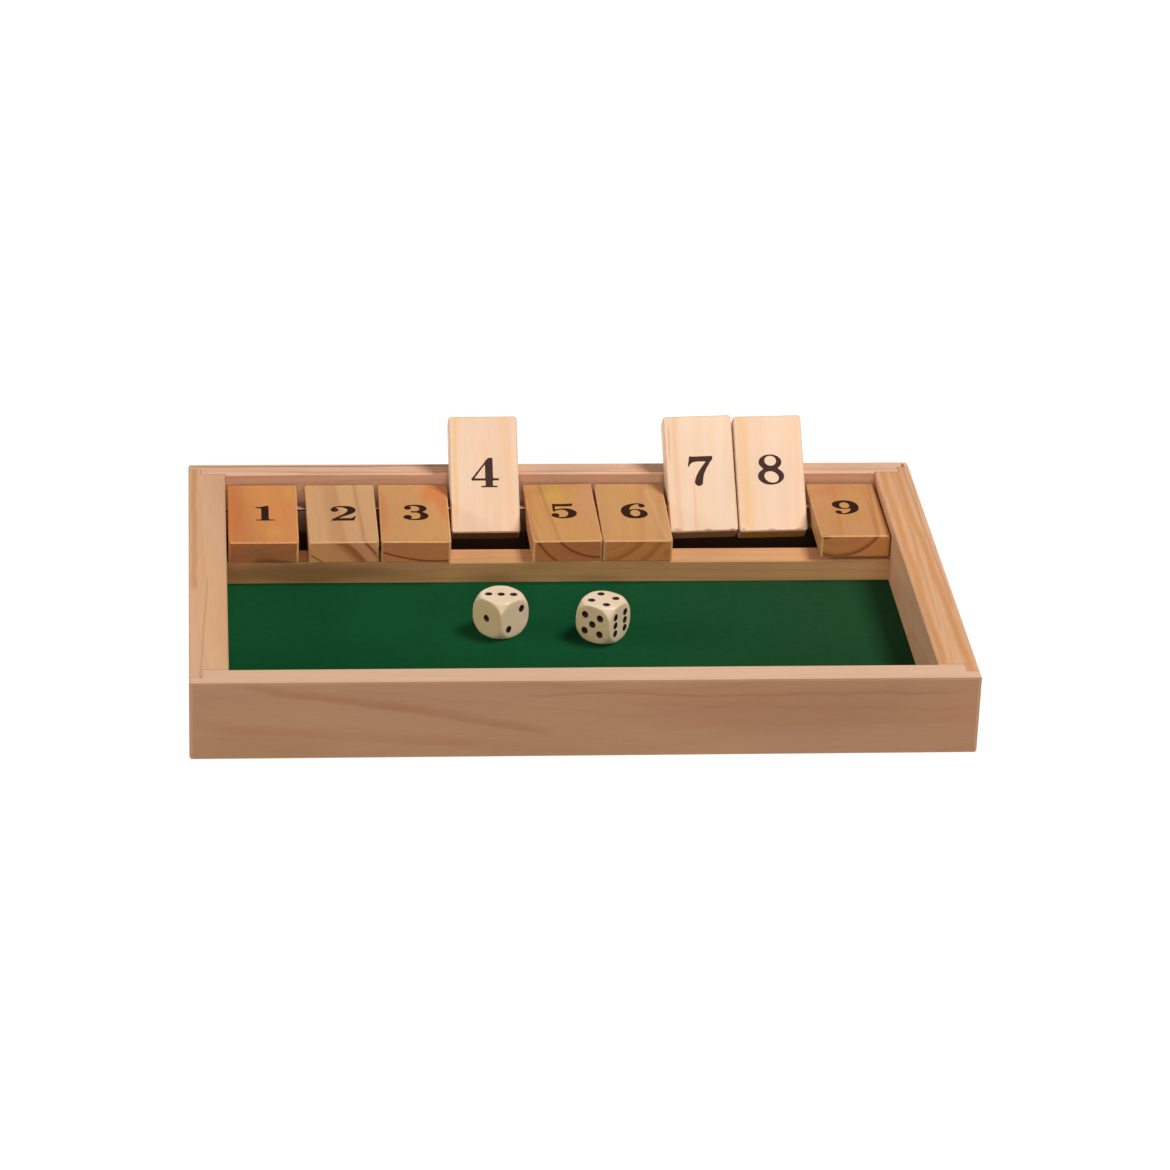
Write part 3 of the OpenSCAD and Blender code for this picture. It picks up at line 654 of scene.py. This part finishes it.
def outlines(n, step=0.1):
    """Closed outlines of a numeral, from its field on a grid."""
    xs, ys = np.arange(-8, 8, step), np.arange(-9, 9, step)
    X, Y = np.meshgrid(xs, ys, indexing="ij")
    F = numeral(n, X, Y)
    for _ in range(3):
        F = (F + np.roll(F, 1, 0) + np.roll(F, -1, 0) + np.roll(F, 1, 1) + np.roll(F, -1, 1)) / 5
    I = F < 0

    def cut(i, j, k):
        """The crossing on the grid edge from (i, j) along axis k."""
        a, b = F[i, j], (F[i + 1, j] if k == 0 else F[i, j + 1])
        t = min(max(a / (a - b), 0.02), 0.98)
        return (xs[i] + (t * step if k == 0 else 0), ys[j] + (t * step if k == 1 else 0))

    links = {}
    cells = np.argwhere((I[:-1, :-1] ^ I[1:, :-1]) | (I[:-1, :-1] ^ I[:-1, 1:]) | (I[:-1, :-1] ^ I[1:, 1:]))
    for i, j in cells:
        around = [((i, j), (i, j, 0)), ((i + 1, j), (i + 1, j, 1)), ((i + 1, j + 1), (i, j + 1, 0)), ((i, j + 1), (i, j, 1))]
        for c in range(4):
            # walk the cell's corners: an edge where the field goes in starts a
            # piece of outline, which ends at the next edge where it goes out
            if not I[around[c][0]] and I[around[(c + 1) % 4][0]]:
                e = (c + 1) % 4
                while I[around[(e + 1) % 4][0]]:
                    e = (e + 1) % 4
                links[tuple(int(v) for v in around[c][1])] = tuple(int(v) for v in around[e][1])
    loops = []
    while links:
        start, nxt = next(iter(links.items()))
        loop = []
        k = start
        while k in links:
            loop.append(cut(*k))
            k = links.pop(k)
        if len(loop) > 8:
            loops.append(loop)
    return loops


def ink_material(name, dark, light):
    m = Net(name)
    p, _ = m.place()
    wear_and_painted_edge_light = m.noise(p, 1.3, 3.0, 4.0, 0.65)
    faint = m.noise(p, 0.12, 5.0, 2.0)
    col = m.mix(m.step(wear_and_painted_edge_light, 0.35, 0.75), dark, light)
    m.set("Base Color", m.mix(m.math("MULTIPLY", faint, 0.3), col, shade(dark, 0.7)))
    m.set("Roughness", m.math("MULTIPLY_ADD", wear_and_painted_edge_light, 0.2, 0.62))
    m.set("Specular IOR Level", 0.06)
    m.bump(m.math("MULTIPLY", wear_and_painted_edge_light, 0.02), 0.4)
    return m.mat


def make_numerals():
    fresh = ink_material("printed_ink", lin(48, 26, 16), lin(66, 40, 28))
    faded = ink_material("faded_ink", lin(70, 48, 42), lin(88, 64, 56))
    thin, sunk = 0.035, 0.02
    shift = {1: (0, -0.3), 2: (0.4, -0.9), 3: (0, -0.7), 4: (-0.3, 0.3), 5: (0.2, -0.35), 6: (0.15, -0.7),
             7: (0.2, 0.4), 8: (-0.15, 0.4), 9: (-0.35, 0.2)}
    for n in range(1, 10):
        loops = outlines(n)
        flat = [pt for loop in loops for pt in loop]
        tris = tessellate_polygon([[Vector((*pt, 0)) for pt in loop] for loop in loops])
        place = (Matrix.Translation((TILE_X[n - 1], ROD_Y, ROD_Z))
                 @ Matrix.Rotation(math.radians(UP if n in RAISED else DOWN - LIFT.get(n, 0)), 4, "X")
                 @ Matrix.Rotation(math.radians(SKEW[n - 1]), 4, "Z"))
        for side in ("top", "under"):
            # the numeral stands upright for the player on the face that shows
            s = 1 if side == "top" else -1
            dx, dy = shift[n] if (n in RAISED) == (side == "under") else (0, 0)
            mid = (-12.1 if side == "top" else -14.4) + dy
            bm = bmesh.new()
            rows = []
            for h in (TILE_T / 2 - sunk, TILE_T / 2 + thin):
                rows.append([bm.verts.new(place @ Vector((a + dx, mid + s * b, s * h)) / 1000) for a, b in flat])
            for t in tris:
                bm.faces.new([rows[1][k] for k in t])
                bm.faces.new([rows[0][k] for k in reversed(t)])
            k = 0
            for loop in loops:
                c = len(loop)
                for i in range(c):
                    a, b = k + i, k + (i + 1) % c
                    bm.faces.new((rows[0][a], rows[0][b], rows[1][b], rows[1][a]))
                k += c
            bmesh.ops.recalc_face_normals(bm, faces=bm.faces)
            me = bpy.data.meshes.new(f"numeral_{n}_{side}")
            bm.to_mesh(me)
            bm.free()
            o = bpy.data.objects.new(me.name, me)
            bpy.context.scene.collection.objects.link(o)
            me.materials.append(faded if n in RAISED else fresh)
            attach(o, f"tile_{n}")


# -------------------------------------------------------------------- dice
HALF, BALL, PIP_R, PIP_H, PIP_S = 8.0, 11.44, 1.5, 0.5, 3.488


def die_faces(top, west, south):
    """(turn, number) of each face, as the construction model lays them."""
    def turn(a, axis):
        return Matrix.Rotation(math.radians(a), 3, axis)
    return [(turn(90, "Z"), top), (turn(180, "X"), 7 - top), (turn(-90, "Y"), west), (turn(90, "Y"), 7 - west),
            (turn(90, "X"), south), (turn(-90, "X"), 7 - south)]


def pips(n):
    out = [(0, 0)] if n % 2 else []
    if n >= 2:
        out += [(-1, -1), (1, 1)]
    if n >= 4:
        out += [(-1, 1), (1, -1)]
    if n == 6:
        out += [(-1, 0), (1, 0)]
    return out


def ivory_material():
    m = Net("die_ivory")
    p, normal = m.place()
    cloud = m.noise(p, 0.10, 3.0, 3.0, 0.55)
    vein = m.noise(p, (0.3, 0.5, 0.12), 6.0, 3.0, 0.6, twist=1.2)
    col = m.mix(m.step(cloud, 0.3, 0.7), lin(242, 215, 188), lin(238, 209, 171))
    col = m.mix(m.math("MULTIPLY", m.step(vein, 0.55, 0.8), 0.18), col, lin(214, 192, 150))
    # faces turned to the front left are darker and yellower: painted shade
    k = m.step(m.vec("DOT_PRODUCT", normal, (-0.68, -0.73, 0)), 0.80, 0.97)
    m.set("Base Color", m.mix(k, col, m.mix(1.0, col, (0.82, 0.80, 0.62, 1), "MULTIPLY")))
    m.set("Roughness", m.math("MULTIPLY_ADD", m.noise(p, 1.1, 8.0, 2.0), 0.14, 0.26))
    m.set("Subsurface Weight", 0.12)
    m.set("Subsurface Radius", (0.0022, 0.0016, 0.0009))
    m.set("Subsurface Scale", 1.0)
    m.set("Specular IOR Level", 0.5)
    m.bump(m.math("MULTIPLY", m.noise(p, 0.7, 9.0, 2.0), 0.02), 0.4)
    return m.mat


def pip_material():
    m = Net("pip_paint")
    p, _ = m.place()
    k = m.noise(p, 2.2, 4.0, 3.0, 0.6)
    m.set("Base Color", m.mix(m.step(k, 0.35, 0.7), lin(24, 10, 5), lin(44, 24, 14)))
    m.set("Roughness", m.math("MULTIPLY_ADD", k, 0.25, 0.40))
    m.set("Specular IOR Level", 0.3)
    m.bump(m.math("MULTIPLY", k, 0.05), 0.5)
    return m.mat


def lens(bm, place, radius, around=36, down=7):
    """The lowest part of a ball, closed by a flat lid."""
    rows, reach = [], 0.82
    for i in range(1, down + 1):
        a = reach * i / down
        rows.append([bm.verts.new(place @ Vector((radius * math.sin(a) * math.cos(t), radius * math.sin(a) * math.sin(t),
                                                  -radius * math.cos(a))))
                     for t in (2 * math.pi * k / around for k in range(around))])
    tip = bm.verts.new(place @ Vector((0, 0, -radius)))
    for k in range(around):
        n = (k + 1) % around
        bm.faces.new((tip, rows[0][n], rows[0][k]))
        for a, b in zip(rows, rows[1:]):
            bm.faces.new((a[k], a[n], b[n], b[k]))
    bm.faces.new(rows[-1])


def make_die(name, ivory, paint):
    x, y, yaw, nums = DICE[name]
    place = Matrix.Translation((x / 1000, y / 1000, DIE_Z / 1000)) @ Matrix.Rotation(math.radians(yaw), 4, "Z")
    # a cube whose edges and corners are tumbled down to a ball
    grid, power = 56, 40.0
    bm = bmesh.new()
    t = np.tan(np.linspace(-math.pi / 4, math.pi / 4, grid + 1))
    for axis in range(3):
        for s in (-1, 1):
            vs = {}
            for i, a in enumerate(t):
                for j, b in enumerate(t):
                    d = [0.0, 0.0, 0.0]
                    d[axis], d[(axis + 1) % 3], d[(axis + 2) % 3] = s, a * s, b
                    d = np.array(d) / math.sqrt(1 + a * a + b * b)
                    r = (BALL ** -power + float(np.sum((np.abs(d) / HALF) ** power))) ** (-1 / power)
                    vs[i, j] = bm.verts.new(tuple(d * r / 1000))
            for i in range(grid):
                for j in range(grid):
                    bm.faces.new((vs[i, j], vs[i + 1, j], vs[i + 1, j + 1], vs[i, j + 1]))
    bmesh.ops.remove_doubles(bm, verts=bm.verts, dist=1e-6)
    bmesh.ops.recalc_face_normals(bm, faces=bm.faces)
    me = bpy.data.meshes.new(name + "_body")
    bm.to_mesh(me)
    bm.free()
    o = bpy.data.objects.new(name + "_body", me)
    bpy.context.scene.collection.objects.link(o)
    # the pips: one cutter of all the dimples' balls
    ball = (PIP_R ** 2 + PIP_H ** 2) / (2 * PIP_H)
    mids = []
    cut = bmesh.new()
    for turn, n in die_faces(*nums):
        for a, b in pips(n):
            c = turn @ Vector((a * PIP_S, b * PIP_S, HALF + ball - PIP_H))
            mids.append(c)
            lens(cut, Matrix.Translation(c / 1000) @ turn.to_4x4(), ball / 1000)
    bmesh.ops.recalc_face_normals(cut, faces=cut.faces)
    cme = bpy.data.meshes.new(name + "_cutter")
    cut.to_mesh(cme)
    cut.free()
    co = bpy.data.objects.new(name + "_cutter", cme)
    bpy.context.scene.collection.objects.link(co)
    b = o.modifiers.new("pips", "BOOLEAN")
    b.operation, b.object, b.solver = "DIFFERENCE", co, "EXACT"
    bpy.context.view_layer.update()
    done = bpy.data.meshes.new_from_object(o.evaluated_get(bpy.context.evaluated_depsgraph_get()))
    o.modifiers.clear()
    o.data = done
    done.name = name + "_body"
    bpy.data.objects.remove(co)
    done.materials.clear()
    done.materials.append(ivory)
    done.materials.append(paint)
    for f in done.polygons:
        c = f.center * 1000
        f.material_index = 1 if min((c - q).length for q in mids) < ball + 0.004 else 0
        f.use_smooth = True
    done.set_sharp_from_angle(angle=math.radians(24))
    done.transform(place)
    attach(o, name)
    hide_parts(name)


# ------------------------------------------------------- floor and lights
def area(name, at, to, size, power, colour=(1, 1, 1)):
    light = bpy.data.lights.new(name, "AREA")
    light.shape = "RECTANGLE"
    light.size, light.size_y = size
    light.energy = power
    light.color = colour
    o = bpy.data.objects.new(name, light)
    o.location = at
    o.rotation_euler = (Vector(to) - Vector(at)).to_track_quat("-Z", "Y").to_euler()
    bpy.context.scene.collection.objects.link(o)


def make_stage():
    me = bpy.data.meshes.new("floor")
    me.from_pydata([(-8, -8, 0), (8, -8, 0), (8, 8, 0), (-8, 8, 0)], [], [(0, 1, 2, 3)])
    o = bpy.data.objects.new("floor", me)
    o.location.z = -0.0002
    bpy.context.scene.collection.objects.link(o)
    m = Net("floor", Roughness=0.9)
    m.set("Base Color", (0.08, 0.08, 0.08, 1))
    m.set("Specular IOR Level", 0.0)
    m.set("Emission Color", (1, 1, 1, 1))
    m.set("Emission Strength", 1.0)
    me.materials.append(m.mat)
    w = bpy.data.worlds.new("studio")
    bpy.context.scene.world = w
    w.use_nodes = True
    bg = w.node_tree.nodes["Background"]
    bg.inputs["Color"].default_value = (1, 1, 1, 1)
    bg.inputs["Strength"].default_value = 0.08
    area("key", (0.95, 0.02, 1.75), (0, 0, 0), (0.6, 0.6), 31)
    area("front", (0, -1.9, 0.77), (0, 0, 0), (0.9, 0.5), 14.5)
    area("left", (-1.9, 0, 0.77), (0, 0, 0), (0.9, 0.5), 14)
    s = bpy.context.scene
    s.view_settings.view_transform = "Standard"
    s.view_settings.look = "None"
    s.view_settings.exposure = 0
    s.view_settings.gamma = 1


make_camera()
make_woods()
make_metals()
make_felt()
make_numerals()
ivory, paint = ivory_material(), pip_material()
for name in DICE:
    make_die(name, ivory, paint)
make_stage()
